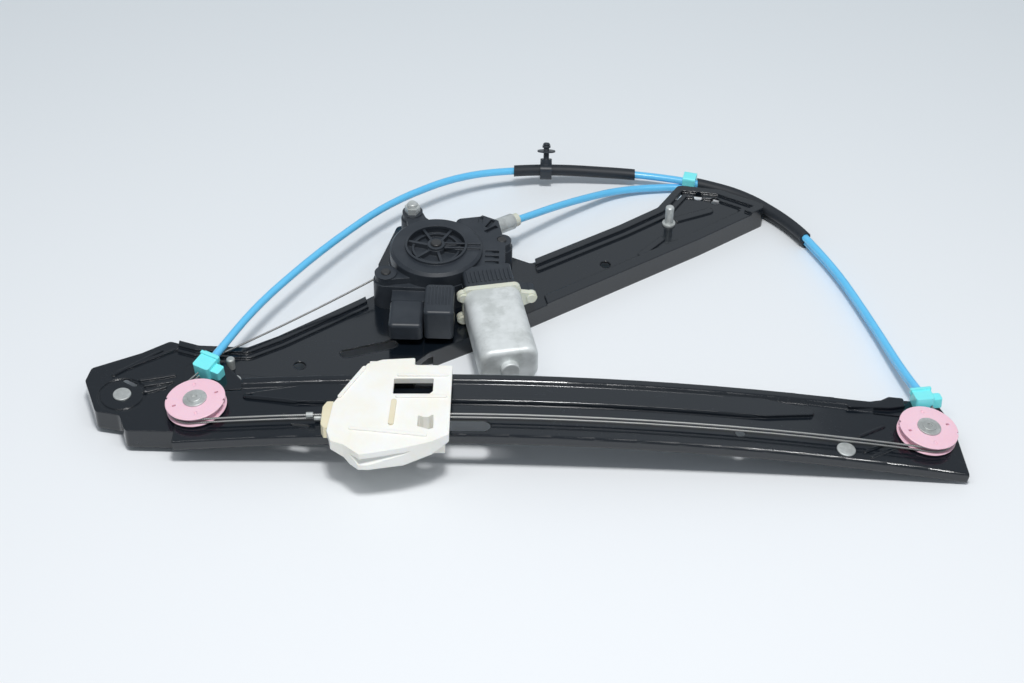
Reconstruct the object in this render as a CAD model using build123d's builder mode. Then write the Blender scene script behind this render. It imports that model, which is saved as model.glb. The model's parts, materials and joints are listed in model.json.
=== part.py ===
"""Electric window regulator of a car's front door, lying flat as on a bench.

The guide rail runs along X, Y goes to the back of the table and Z is up.
All lengths are in millimetres and all angles in degrees.
"""
import os
from math import asin, cos, degrees, radians, sin, tan

from build123d import *

# Shared sheet and fit sizes
SHEET = 1.5
RUNNING = 0.05
SLIDE_GAP = 0.4

# Guide rail: an arc in the XZ plane that is highest near its middle
RAIL_RADIUS = 1900.0
RAIL_APEX_X = -8.0
RAIL_LEFT = -231.0
RAIL_RIGHT = 300.0
RAIL_REAR = -103.0
RAIL_FRONT = -160.5
RAIL_REAR_DEPTH = 10.0
RAIL_FRONT_DEPTH = 7.5
LIP_RISE = 3.0
LIP_WIDTH = 6.0
BEAD_RISE = 2.5
RIGHT_END_HEIGHT = 9.87
RIGHT_ANGLE = degrees(asin((RAIL_RIGHT - RAIL_APEX_X) / RAIL_RADIUS))
RAIL_CENTRE_Z = RIGHT_END_HEIGHT - RAIL_RADIUS * cos(radians(RIGHT_ANGLE))
FOOT_LEFT = -214.0
FOOT_RIGHT = -132.0
FOOT_BACK = -90.0

# Pulleys, one at each end of the rail
PULLEY_Y = -128.0
LEFT_PULLEY_X = -218.0
RIGHT_PULLEY_X = 274.0
PULLEY_RADIUS = 20.5
PULLEY_THICK = 7.0
PULLEY_LIFT = 1.0
RIM_THICK = 1.0
GROOVE_RADIUS = 17.0
LOWER_WIRE = 3.0
UPPER_WIRE = 6.0
AXLE_RADIUS = 4.0
WASHER_RADIUS = 8.2

# Cables
WIRE_RADIUS = 0.7
WRAP_RADIUS = GROOVE_RADIUS + WIRE_RADIUS + 0.5
WIRE_Y = PULLEY_Y - WRAP_RADIUS
CONDUIT_RADIUS = 2.8
CONDUIT_FIT = 0.05
SLEEVE_RADIUS = 4.4
WIRE_TAIL = 22.0
SOCKET_RADIUS = 1.85
CLIP_Z = 15.0
CLIP_LEAN = 27.0

# Mounting plate: wing under the left pulley, arm to the back right
WING_TOP = 20.3
ARM_TOP = 15.0
NUT_LEVEL = ARM_TOP - SHEET - 5
WING_BEND_X = -228.0
ARM_BEND_X = -120.0
WING_FLANGE = 15.0
REAR_FLANGE = 5.0
RIM_RISE = 3.2
SHOULDER_RISE = 1.5

# Drive: drum and worm wheel on one upright axis, motor lying beside it
DRUM_X = -64.0
DRUM_Y = 22.0
COVER_RADIUS = 33.5
HOUSING_TOP = 36.0
COVER_TOP = 48.0
WHEEL_RADIUS = 26.0
CABLE_DRUM_RADIUS = 24.5
DRUM_PIN_RADIUS = 4.0
MOTOR_ANGLE = -78.0
MOTOR_X = -23.2
MOTOR_Y = -18.0
MOTOR_Z = 31.0
CAN_LENGTH = 68.0
CAN_RADIUS = 20.5
CAN_HEIGHT = 30.0
CAN_WALL = 1.5
CAN_CORNER = 9.0
MODULE_LOW = 22.5

# Glass carrier
CARRIER_LOW = 9.5
CARRIER_HIGH = 14.0

# Middle of the whole part, brought to X = 0 and Y = 0 on export
MIDDLE_X = 0.4
MIDDLE_Y = -11.7

os.makedirs("parts", exist_ok=True)


def save(part, name):
    """Label a sub-part, centre the frame on the whole part and write it."""
    placed = part.moved(Location((-MIDDLE_X, -MIDDLE_Y, 0)))
    placed.label = name
    export_step(placed, "parts/" + name + ".step")
    size = placed.bounding_box().size
    print(name, len(placed.solids()), round(placed.volume), round(size.X), round(size.Y), round(size.Z))


def rail_angle(x):
    """Angle along the rail's arc, measured from its apex, in degrees."""
    return degrees(asin((x - RAIL_APEX_X) / RAIL_RADIUS))


def rail_height(x):
    """Height of the rail's upper face at x."""
    return RAIL_CENTRE_Z + RAIL_RADIUS * cos(radians(rail_angle(x)))


def rail_plane(x, y, lift=0.0):
    """Plane on the rail's upper face at x, y, its normal pointing out of the arc."""
    angle = radians(rail_angle(x))
    reach = RAIL_RADIUS + lift
    origin = (RAIL_APEX_X + reach * sin(angle), y, RAIL_CENTRE_Z + reach * cos(angle))
    return Plane(origin=origin, x_dir=(cos(angle), 0, -sin(angle)), z_dir=(sin(angle), 0, cos(angle)))


def curved_layer(plan, low, high):
    """Shell between two lifts above the rail's arc, cut to a plan outline."""
    with BuildPart() as layer:
        with BuildSketch(Plane.XZ):
            with Locations((RAIL_APEX_X, RAIL_CENTRE_Z)):
                Circle(RAIL_RADIUS + high)
                Circle(RAIL_RADIUS + low, mode=Mode.SUBTRACT)
        extrude(amount=250, both=True)
        with BuildSketch():
            add(plan)
        extrude(amount=90, mode=Mode.INTERSECT)
    return layer.part


def plate_height(x):
    """Height of the mounting plate's upper face at x."""
    share = (x - WING_BEND_X) / (ARM_BEND_X - WING_BEND_X)
    share = min(max(share, 0.0), 1.0)
    return WING_TOP + (ARM_TOP - WING_TOP) * share


def plate_layer(plan, low, high):
    """Sheet between two lifts above the plate's bent upper face, cut to a plan outline."""
    bends = (-320.0, WING_BEND_X, ARM_BEND_X, 320.0)
    upper = [(x, plate_height(x) + high) for x in bends]
    lower = [(x, plate_height(x) + low) for x in reversed(bends)]
    with BuildPart() as layer:
        with BuildSketch(Plane.XZ):
            Polygon(*upper, *lower, align=None)
        extrude(amount=250, both=True)
        with BuildSketch():
            add(plan)
        extrude(amount=90, mode=Mode.INTERSECT)
    return layer.part


def outline(points, corner=0.0):
    """Closed plan outline with all corners rounded."""
    with BuildSketch() as plan:
        Polygon(*points, align=None)
        if corner:
            fillet(plan.vertices(), corner)
    return plan.sketch


def inset(plan, amount):
    """Plan outline moved inwards."""
    with BuildSketch() as inner:
        offset(plan, amount=-amount, kind=Kind.INTERSECTION)
    return inner.sketch


def stadium(x, y, length, width, angle):
    """Plan of a long rib or slot with round ends."""
    with BuildSketch() as plan:
        with Locations(Location((x, y), angle)):
            SlotOverall(length, width)
    return plan.sketch


def disc(x, y, radius):
    """Plan of a round hole or boss."""
    with BuildSketch() as plan:
        with Locations((x, y)):
            Circle(radius)
    return plan.sketch


# Guide rail
FOOT_RIVETS = [(-197, -96.5), (-145, -98.5)]
RAIL_RIBS = [(236.5, -131, 24), (240.5, -144.5, 28), (244, -149, 26)]
RAIL_DISC = (217, -151.5)
left_tab = outline([(-231, -112), (-231, -83), (-206, -83), (-190, -104), (-190, -112)], 1.5)
right_tab = outline([(228, -112), (232, -103), (250, -97), (286, -93), (291, -104), (293, -112)], 1.5)
right_ear = outline([(222, -112), (222, -107), (240, -106), (252, -97), (262, -96.5), (263, -104), (252, -108)], 1.5)
rail_bead = outline([(-194, -119.5), (-150, -112), (165, -112), (212, -120.5), (165, -129), (-150, -129)], 3)
rail_slot = stadium(-60, -151, 81, 11, 0)
small_slot_a = stadium(-152, -141, 15, 3, -14)
small_slot_b = stadium(-146, -150, 13, 3, -10)
foot_plan = outline([(FOOT_LEFT, -104), (FOOT_LEFT, -92), (-190, FOOT_BACK), (FOOT_RIGHT, -96), (FOOT_RIGHT, -104)], 1)
with BuildPart() as web:
    with BuildSketch(Plane.XY.offset(ARM_TOP - 2)):
        with Locations(((FOOT_LEFT + FOOT_RIGHT) / 2, RAIL_REAR - SHEET / 2)):
            Rectangle(FOOT_RIGHT - FOOT_LEFT, SHEET)
    extrude(amount=30)
    with BuildSketch(Plane.XZ):
        with Locations((RAIL_APEX_X, RAIL_CENTRE_Z)):
            Circle(RAIL_RADIUS - SHEET / 2)
    extrude(amount=250, both=True, mode=Mode.INTERSECT)
    with BuildSketch(Plane.XZ):
        Polygon(
            (-320, WING_TOP + SHEET / 2),
            (WING_BEND_X, WING_TOP + SHEET / 2),
            (ARM_BEND_X, ARM_TOP + SHEET / 2),
            (320, ARM_TOP + SHEET / 2),
            (320, 90),
            (-320, 90),
            align=None,
        )
    extrude(amount=250, both=True, mode=Mode.INTERSECT)
foot_web = web.part
section_plane = rail_plane(RAIL_LEFT, 0, -RAIL_RADIUS)
section = Plane(origin=section_plane.origin, x_dir=(0, 1, 0), z_dir=section_plane.x_dir)
rail_axis = Axis((RAIL_APEX_X, 0, RAIL_CENTRE_Z), (0, 1, 0))
with BuildPart() as guide_rail:
    with BuildSketch(section):
        with BuildLine():
            profile = FilletPolyline(
                (RAIL_REAR, RAIL_RADIUS - RAIL_REAR_DEPTH + 1),
                (RAIL_REAR, RAIL_RADIUS + LIP_RISE),
                (RAIL_REAR - LIP_WIDTH, RAIL_RADIUS + LIP_RISE),
                (RAIL_REAR - LIP_WIDTH - LIP_RISE, RAIL_RADIUS),
                (RAIL_FRONT, RAIL_RADIUS),
                (RAIL_FRONT, RAIL_RADIUS - RAIL_FRONT_DEPTH),
                radius=1.6,
            )
            offset(profile, amount=SHEET, side=Side.LEFT)
        make_face()
    revolve(axis=rail_axis, revolution_arc=rail_angle(RAIL_RIGHT) - rail_angle(RAIL_LEFT))
    # Rear lip taken off beside both pulleys, where flat tabs stand in its place
    for start, end in ((-240, -190), (240, 310)):
        with BuildSketch(Plane.XY.offset(-5)):
            with Locations(((start + end) / 2, -106)):
                Rectangle(end - start, 14)
        extrude(amount=60, mode=Mode.SUBTRACT)
    add(curved_layer(left_tab, -SHEET, 0))
    add(curved_layer(right_tab, -SHEET, 0))
    # Raised ear that carries the rear lip round to the right end fitting
    add(curved_layer(right_ear, -SHEET / 2, LIP_RISE))
    add(curved_layer(inset(right_ear, SHEET), -SHEET - 1, LIP_RISE - SHEET), mode=Mode.SUBTRACT)
    # Pressed bead with a V at its left end, hollow underneath
    add(curved_layer(rail_bead, -SHEET / 2, BEAD_RISE))
    add(curved_layer(inset(rail_bead, SHEET), -SHEET - 1, BEAD_RISE - SHEET), mode=Mode.SUBTRACT)
    # Foot that stands on the mounting plate, with a web up to the rear lip
    add(plate_layer(foot_plan, 0, SHEET))
    add(foot_web)
    # Seats that carry both pulleys
    for x in (LEFT_PULLEY_X, RIGHT_PULLEY_X):
        add(curved_layer(disc(x, PULLEY_Y, AXLE_RADIUS + 3), -SHEET / 2, PULLEY_LIFT - 2 * RUNNING))
        with BuildSketch(rail_plane(x, PULLEY_Y, -6)):
            Circle(AXLE_RADIUS)
        extrude(amount=12, mode=Mode.SUBTRACT)
    for x, y in FOOT_RIVETS:
        add(plate_layer(disc(x, y, 2.5), -9, 4), mode=Mode.SUBTRACT)
    # Three short ribs beside the right pulley
    for x, y, length in RAIL_RIBS:
        rib = stadium(x, y, length, 2.4, 35)
        add(curved_layer(rib, -SHEET / 2, 1.2))
    # Slots and holes
    for plan in (rail_slot, small_slot_a, small_slot_b, disc(146.5, -145.2, 3.6), disc(*RAIL_DISC, 2.5)):
        add(curved_layer(plan, -12, 12), mode=Mode.SUBTRACT)
    # Slanting right end
    with BuildSketch(Plane.XY.offset(-5)):
        Polygon((287, -90), (340, -90), (340, -175), (301, -175), (295, -112), align=None)
    extrude(amount=60, mode=Mode.SUBTRACT)

# Mounting plate
BOSSES = [(-99, -2, 9.0), (-17, 38, 8.0), (-84, 70, 8.5)]
STUD_RADIUS = 3.0
SHANK_RADIUS = 3.5
WING_RIVET = (-271.5, -114)
ARM_STUD = (109, 97)
LOCATING_PIN = (-201.2, -82.5)
plate_slot = stadium(-108, -55, 42, 9, 20)
wing_slot = stadium(-268, -101.5, 12, 4, -32)
arm_slit = stadium(118.5, 130, 11, 1.8, 60)
plate_holes = [(-154.5, -76, 4.3), (60, 46, 4.0), (133, 131, 3.4), (146, 126, 3.4)]
plate_holes += [(x, y, SHANK_RADIUS) for x, y, boss in BOSSES]
plate_holes += [(x, y, 2.5) for x, y in FOOT_RIVETS + [WING_RIVET, ARM_STUD, LOCATING_PIN]]
plate_holes += [(LEFT_PULLEY_X, PULLEY_Y, AXLE_RADIUS + 3.5)]
plate_plan = outline(
    [
        (-299, -101),
        (-297, -88),
        (-265, -71),
        (-247, -58),
        (-226, -65),
        (-192, -64),
        (-172, -50),
        (-107, 5),
        (-108, 40),
        (-97, 86),
        (-72, 90),
        (-30, 62),
        (5, 45),
        (71, 90),
        (101, 113),
        (118, 142),
        (150, 138),
        (186, 119),
        (132, 78),
        (5, -11),
        (-35, -38),
        (-65, -57),
        (-96, -92),
        (-110, -99),
        (-170, -112),
        (-196, -146),
        (-232, -149),
        (-264, -149),
        (-270, -134),
        (-287, -131),
    ],
    4,
)
wing_zone = outline([(-320, -160), (-320, -90), (-292, -104), (-232, -138), (-190, -160)])
# Stretches of the plate's edge that carry a raised rim
rear_rim_zone = outline([(-240, -50), (-240, -80), (-190, -84), (-110, -16), (-116, 4), (-170, -36)])
arm_rim_zone = outline([(6, 60), (10, 30), (76, 80), (112, 106), (124, 126), (150, 122), (176, 108), (210, 128), (130, 170)])
front_rim_zone = outline([(22, -20), (14, 12), (128, 92), (170, 122), (210, 120), (136, 62)])
arm_zone = outline(
    [
        (-66, -66),
        (-60, -46),
        (-38, -30),
        (0, -4),
        (128, 86),
        (190, 128),
        (196, 114),
        (136, 70),
        (10, -20),
        (-30, -46),
    ]
)
# Middle, length, width and angle of each bead
PLATE_BEADS = [
    (95, 68, 30, 5, 50),
    (128, 108, 34, 6, 25),
    (-266, -81.5, 42, 2.4, 42),
    (-260, -79, 50, 2.4, 34),
    (-250, -96.5, 26, 2.4, 15),
    (-248.5, -102.5, 21, 2.4, 15),
    (-250, -108.5, 17, 2.4, 21),
]
BEAD_LIFT = 1.2
with BuildPart() as mounting_plate:
    add(plate_layer(plate_plan, -SHEET, 0))
    # Turned-down edge, deepest along the front of the arm
    with BuildSketch() as edge:
        add(plate_plan)
        add(inset(plate_plan, SHEET), mode=Mode.SUBTRACT)
    add(plate_layer(edge.sketch, -REAR_FLANGE, -SHEET / 2))
    add(plate_layer(edge.sketch & wing_zone, -WING_FLANGE, -SHEET / 2))
    add(plate_layer(edge.sketch & arm_zone, -ARM_TOP, -SHEET / 2))
    # Rims pressed up along the edges, with a lower shoulder inside, hollow underneath
    for zone, width, rise in (
        (rear_rim_zone, 9, SHOULDER_RISE),
        (rear_rim_zone, 5, RIM_RISE),
        (arm_rim_zone, 11, SHOULDER_RISE),
        (arm_rim_zone, 6, RIM_RISE),
        (front_rim_zone, 9, SHOULDER_RISE),
    ):
        rim = (plate_plan - inset(plate_plan, width)) & zone
        add(plate_layer(rim, -SHEET / 2, rise))
        hollow = (inset(plate_plan, SHEET) - inset(plate_plan, width - SHEET)) & inset(zone, SHEET)
        add(plate_layer(hollow, -SHEET - 3, rise - SHEET), mode=Mode.SUBTRACT)
    # Beads pressed up along the arm, the web behind the rail and the wing
    for x, y, length, width, angle in PLATE_BEADS:
        bead = stadium(x, y, length, width, angle)
        add(plate_layer(bead, -SHEET / 2, BEAD_LIFT))
    # Round recess about the wing's rivet
    recess = disc(*WING_RIVET, 16.5) - disc(*WING_RIVET, 14.5)
    add(plate_layer(recess, -0.6, 3), mode=Mode.SUBTRACT)
    # Holes for the drive, the rivets and the door panel
    for x, y, radius in plate_holes:
        add(plate_layer(disc(x, y, radius), -9, 9), mode=Mode.SUBTRACT)
    for slot in (plate_slot, wing_slot, arm_slit):
        add(plate_layer(slot, -9, 9), mode=Mode.SUBTRACT)
save(mounting_plate.part, "mounting_plate")
save(guide_rail.part, "guide_rail")


def pulley(x):
    """Pulley with one wide groove for both cables, square to the rail at x."""
    with BuildPart() as wheel:
        with BuildSketch(rail_plane(x, PULLEY_Y, PULLEY_LIFT)):
            Circle(PULLEY_RADIUS)
            Circle(AXLE_RADIUS + RUNNING, mode=Mode.SUBTRACT)
        extrude(amount=PULLEY_THICK)
        with BuildSketch(rail_plane(x, PULLEY_Y, PULLEY_LIFT + RIM_THICK)):
            Circle(PULLEY_RADIUS + 1)
            Circle(GROOVE_RADIUS, mode=Mode.SUBTRACT)
        extrude(amount=PULLEY_THICK - 2 * RIM_THICK, mode=Mode.SUBTRACT)
        chamfer(wheel.edges().filter_by(GeomType.CIRCLE).sort_by(SortBy.RADIUS)[-4:], 0.3)
        # Two oval holes, two shallow dents and a notch in the rim on both sides
        with BuildSketch(rail_plane(x, PULLEY_Y, PULLEY_LIFT + PULLEY_THICK)):
            with PolarLocations(14.8, 2, start_angle=22):
                SlotOverall(2.8, 1.7)
            with PolarLocations(PULLEY_RADIUS, 2, start_angle=174):
                Rectangle(2.2, 2)
        extrude(amount=-3, mode=Mode.SUBTRACT)
        with BuildSketch(rail_plane(x, PULLEY_Y, PULLEY_LIFT + PULLEY_THICK)):
            with PolarLocations(14.6, 2, start_angle=100):
                SlotOverall(3.4, 2)
        extrude(amount=-0.5, mode=Mode.SUBTRACT)
    return wheel.part


def washer(x):
    """Washer that keeps a pulley on its axle."""
    with BuildPart() as ring:
        with BuildSketch(rail_plane(x, PULLEY_Y, PULLEY_LIFT + PULLEY_THICK + RUNNING)):
            Circle(WASHER_RADIUS)
            Circle(AXLE_RADIUS, mode=Mode.SUBTRACT)
        extrude(amount=1.2)
        fillet(ring.edges().filter_by(GeomType.CIRCLE).sort_by(SortBy.RADIUS)[-1], 0.5)
    return ring.part


def axle(x):
    """Pulley axle riveted over the washer and under the rail's sheet."""
    top = PULLEY_LIFT + PULLEY_THICK + RUNNING + 1.2
    depth = SHEET + 0.02
    with BuildPart() as pin:
        with BuildSketch(rail_plane(x, PULLEY_Y, -depth)):
            Circle(AXLE_RADIUS)
        extrude(amount=depth + top)
        with BuildSketch(rail_plane(x, PULLEY_Y, top)):
            Circle(AXLE_RADIUS + 0.8)
        extrude(amount=0.8)
        fillet(pin.edges().filter_by(GeomType.CIRCLE).sort_by(Axis.Z)[-1], 0.6)
        with BuildSketch(rail_plane(x, PULLEY_Y, -depth)):
            Circle(AXLE_RADIUS + 2)
        extrude(amount=-1.4)
        with BuildSketch(rail_plane(x, PULLEY_Y, top + 0.8)):
            RegularPolygon(2, 5)
        extrude(amount=-0.8, mode=Mode.SUBTRACT)
    return pin.part


def rounding(points):
    """Bend radii that use most of each run of a cable path."""
    radii = []
    for before, corner, after in zip(points, points[1:], points[2:]):
        first = Vector(corner) - Vector(before)
        second = Vector(after) - Vector(corner)
        half = radians(first.get_angle(second)) / 2
        radii.append(0.45 * min(first.length, second.length) / tan(half))
    return radii


def tube(points, radius):
    """Round tube along straight runs joined by tangent arcs."""
    radii = rounding(points)
    print("bend radii", [round(value) for value in radii])
    with BuildPart() as run:
        with BuildLine() as path:
            FilletPolyline(*points, radius=radii)
        with BuildSketch(Plane(origin=path.line @ 0, z_dir=path.line % 0)):
            Circle(radius)
        sweep(path=path.line)
    return run.part


def rail_wire(lift, radius):
    """Cable over the rail, round the outer side of both pulleys to the end fittings."""
    left = rail_plane(LEFT_PULLEY_X, PULLEY_Y, lift)
    right = rail_plane(RIGHT_PULLEY_X, PULLEY_Y, lift)
    points = []
    for plane, side in ((left, -1), (right, 1)):
        around = []
        for angle in (-90, -30, 35):
            x = side * WRAP_RADIUS * cos(radians(angle))
            y = WRAP_RADIUS * sin(radians(angle))
            around.append(plane.from_local_coords(Vector(x, y, 0)))
        x = side * (WRAP_RADIUS * cos(radians(35)) - WIRE_TAIL * sin(radians(35)))
        y = WRAP_RADIUS * sin(radians(35)) + WIRE_TAIL * cos(radians(35))
        around.append(plane.from_local_coords(Vector(x, y, 0)))
        points.append(around)
    middle = rail_plane(RAIL_APEX_X, WIRE_Y, lift).origin
    with BuildPart() as wire:
        with BuildLine() as path:
            Line(points[0][3], points[0][2])
            ThreePointArc(points[0][2], points[0][1], points[0][0])
            ThreePointArc(points[0][0], middle, points[1][0])
            ThreePointArc(points[1][0], points[1][1], points[1][2])
            Line(points[1][2], points[1][3])
        with BuildSketch(Plane(origin=points[0][3], z_dir=points[0][2] - points[0][3])):
            Circle(radius)
        sweep(path=path.line)
    return wire.part


for side, x in (("left", LEFT_PULLEY_X), ("right", RIGHT_PULLEY_X)):
    save(pulley(x), side + "_pulley")
    save(washer(x), side + "_washer")
    save(axle(x), side + "_axle")

# Threaded stud under the right pulley; its tip is one of the part's feet
RIGHT_STUD_TOP = SHEET + 0.02 + 1.4
tilt = radians(rail_angle(RIGHT_PULLEY_X))
right_stud_end = (rail_height(RIGHT_PULLEY_X) - STUD_RADIUS * sin(tilt)) / cos(tilt)
with BuildPart() as rail_stud:
    with BuildSketch(rail_plane(RIGHT_PULLEY_X, PULLEY_Y, -right_stud_end)):
        Circle(STUD_RADIUS)
    extrude(amount=right_stud_end - RIGHT_STUD_TOP)
save(rail_stud.part, "rail_stud")

upper_wire = rail_wire(UPPER_WIRE, WIRE_RADIUS)
lower_wire = rail_wire(LOWER_WIRE, WIRE_RADIUS)
save(upper_wire, "wire_upper")
save(lower_wire, "wire_lower")

# Conduit from the left end to the right end
left_end = rail_plane(-214, -90, UPPER_WIRE).origin
conduit_points = [
    (left_end.X, left_end.Y, left_end.Z),
    (-189, -31, 32),
    (-150, 34, 31),
    (-104, 98, 28),
    (-50, 143, 23),
    (15, 164, 15),
    (85, 165.5, 10.5),
    (128, 158, 10.5),
    (170, 141, 10.5),
    (206, 104, 10.5),
    (233, 50, 10.5),
    (252, -8, 11),
    (266, -62, 15),
    (275.5, -96, 20.3),
]
save(tube(conduit_points, CONDUIT_RADIUS), "conduit_left")

# Conduit from the drum to the right end, tucked behind and under the first one
TUCK = Vector(2.3, 0.9, -5.8)
shared_points = [Vector(*point) + TUCK for point in conduit_points[7:]]
drum_points = [Vector(-14, 71.6, 31.3), Vector(32, 117, 18), Vector(76, 152, 6)]
drum_conduit_points = [(point.X, point.Y, point.Z) for point in drum_points + shared_points]
save(tube(drum_conduit_points, CONDUIT_RADIUS), "conduit_drum")

# Clearance solids that shape the pieces holding the conduits
conduit_room = tube(conduit_points, CONDUIT_RADIUS + CONDUIT_FIT)
drum_conduit_room = tube(drum_conduit_points, CONDUIT_RADIUS + CONDUIT_FIT)
upper_room = rail_wire(UPPER_WIRE, 1.1)
lower_room = rail_wire(LOWER_WIRE, 1.1)


def end_fitting(x, y, angle, height, lug):
    """Conduit end fitting standing on the rail's tab, its long side at an angle in plan."""
    seat = rail_plane(x, y).rotated((0, 0, angle))
    with BuildPart() as block:
        with BuildSketch(seat):
            RectangleRounded(15, 13, 2)
        extrude(amount=height)
        with BuildSketch(seat.offset(1)):
            with Locations((-1, lug * 8.5)):
                RectangleRounded(8, 9, 1.5)
        extrude(amount=height - 4)
        with BuildSketch(seat.offset(height - 3)):
            with Locations((5, 0)):
                Rectangle(2.4, 14.6)
        extrude(amount=4)
        with BuildSketch(seat.offset(-0.5)):
            Rectangle(30, 40)
        extrude(amount=-10, mode=Mode.SUBTRACT)
        add(conduit_room, mode=Mode.SUBTRACT)
        add(drum_conduit_room, mode=Mode.SUBTRACT)
        add(upper_room, mode=Mode.SUBTRACT)
        add(lower_room, mode=Mode.SUBTRACT)
        add(bare_wire_room, mode=Mode.SUBTRACT)
        add(curved_layer(outline([(-320, -200), (320, -200), (320, 0), (-320, 0)]), -20, 0), mode=Mode.SUBTRACT)
    return block.part.solids().sort_by(SortBy.VOLUME)[-1]


# Bare cable from the drum to the left end, hanging a little
def bare_wire_path(radius):
    """Bare cable along one wide arc."""
    with BuildPart() as wire:
        with BuildLine() as path:
            ThreePointArc((-96, 14.5, 31), (-160, -36, 25.5), (-218, -84, 26.6))
        with BuildSketch(Plane(origin=path.line @ 0, z_dir=path.line % 0)):
            Circle(radius)
        sweep(path=path.line)
    return wire.part


bare_wire_room = bare_wire_path(WIRE_RADIUS + 0.05)
save(bare_wire_path(WIRE_RADIUS), "wire_bare")
save(end_fitting(-215.5, -92, 62, 11.5, -1), "left_conduit_end")
save(end_fitting(275, -99, 100, 11, -1), "right_conduit_end")


def sleeve(zone, radius):
    """Tube slipped over the conduits inside a plan zone."""
    with BuildPart() as cover:
        add(tube(conduit_points, radius))
        with BuildSketch():
            add(zone)
        extrude(amount=60, mode=Mode.INTERSECT)
        add(conduit_room, mode=Mode.SUBTRACT)
    return cover.part


first_zone = outline([(-10, 140), (85, 150), (85, 180), (-10, 180)])
save(sleeve(first_zone, SLEEVE_RADIUS), "sleeve_first")
second_zone = outline([(134, 180), (134, 130), (180, 90), (208, 88), (222, 94), (222, 180)])
lower_half = tube(drum_conduit_points[2:], SLEEVE_RADIUS)
with BuildPart() as second_sleeve:
    for path_tube in (tube(conduit_points, SLEEVE_RADIUS), lower_half):
        with BuildPart(mode=Mode.PRIVATE) as half:
            add(path_tube)
            with BuildSketch():
                add(second_zone)
            extrude(amount=60, mode=Mode.INTERSECT)
            add(conduit_room, mode=Mode.SUBTRACT)
            add(drum_conduit_room, mode=Mode.SUBTRACT)
        add(half.part)
save(second_sleeve.part, "sleeve_second")

# Band that ties both conduits together
with BuildPart() as band:
    with BuildSketch(Plane(origin=(128, 158, 8), x_dir=(0, 0, 1), z_dir=(0.97, -0.23, 0))):
        with Locations((4.2, 0)):
            RectangleRounded(8.4, 10.5, 2)
    extrude(amount=5, both=True)
    add(conduit_room, mode=Mode.SUBTRACT)
    add(drum_conduit_room, mode=Mode.SUBTRACT)
save(band.part, "band")

# Fir-tree clip that holds the first sleeve to the door panel, leaning to the back
clip_plane = Plane((15, 162, CLIP_Z), x_dir=(1, 0, 0), z_dir=(0, sin(radians(CLIP_LEAN)), cos(radians(CLIP_LEAN))))
with BuildPart() as clip:
    with BuildSketch(Plane((15, 162, CLIP_Z), x_dir=(0, 1, 0), z_dir=(1, 0, 0))):
        RectangleRounded(12.6, 12.6, 4)
    extrude(amount=4.5, both=True)
    for level, height, radius in ((4, 5, 4.5), (8, 13, 2.2), (14.6, 1.1, 7), (18, 1.6, 3.2), (20.2, 1.6, 2.8)):
        with BuildSketch(clip_plane.offset(level)):
            Circle(radius)
        extrude(amount=height)
    chamfer(clip.edges().filter_by(GeomType.CIRCLE).sort_by(Axis.Z)[-1], 1)
    sleeve_room = tube(conduit_points[4:7], SLEEVE_RADIUS + CONDUIT_FIT)
    add(sleeve_room, mode=Mode.SUBTRACT)
save(clip.part, "panel_clip")

# Glass carrier
carrier_plan = outline(
    [
        (-124, -144),
        (-104, -105.5),
        (-94, -101.5),
        (-72, -100),
        (-72, -107),
        (-46.5, -107.5),
        (-46, -174),
        (-57, -181),
        (-75, -187),
        (-93, -191),
        (-103, -193),
        (-114, -183.5),
        (-123, -179.5),
        (-126, -170),
    ],
    1.2,
)
glass_slot = outline([(-85, -135.5), (-85, -120.5), (-58.5, -120.5), (-58.5, -133), (-60.5, -135.5)], 0.8)
small_slot = outline(
    [(-67, -166.5), (-67, -156), (-63.5, -158), (-60, -158), (-57, -154.5), (-56.5, -168), (-59.5, -169.5)], 0.8
)
rear_grip = outline([(-103, -110), (-103, -98.5), (-73, -98.5), (-73, -110)], 0.6)
front_grip = outline([(-118, -166.5), (-118, -150), (-49, -150), (-49, -166.5)], 0.6)
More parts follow.
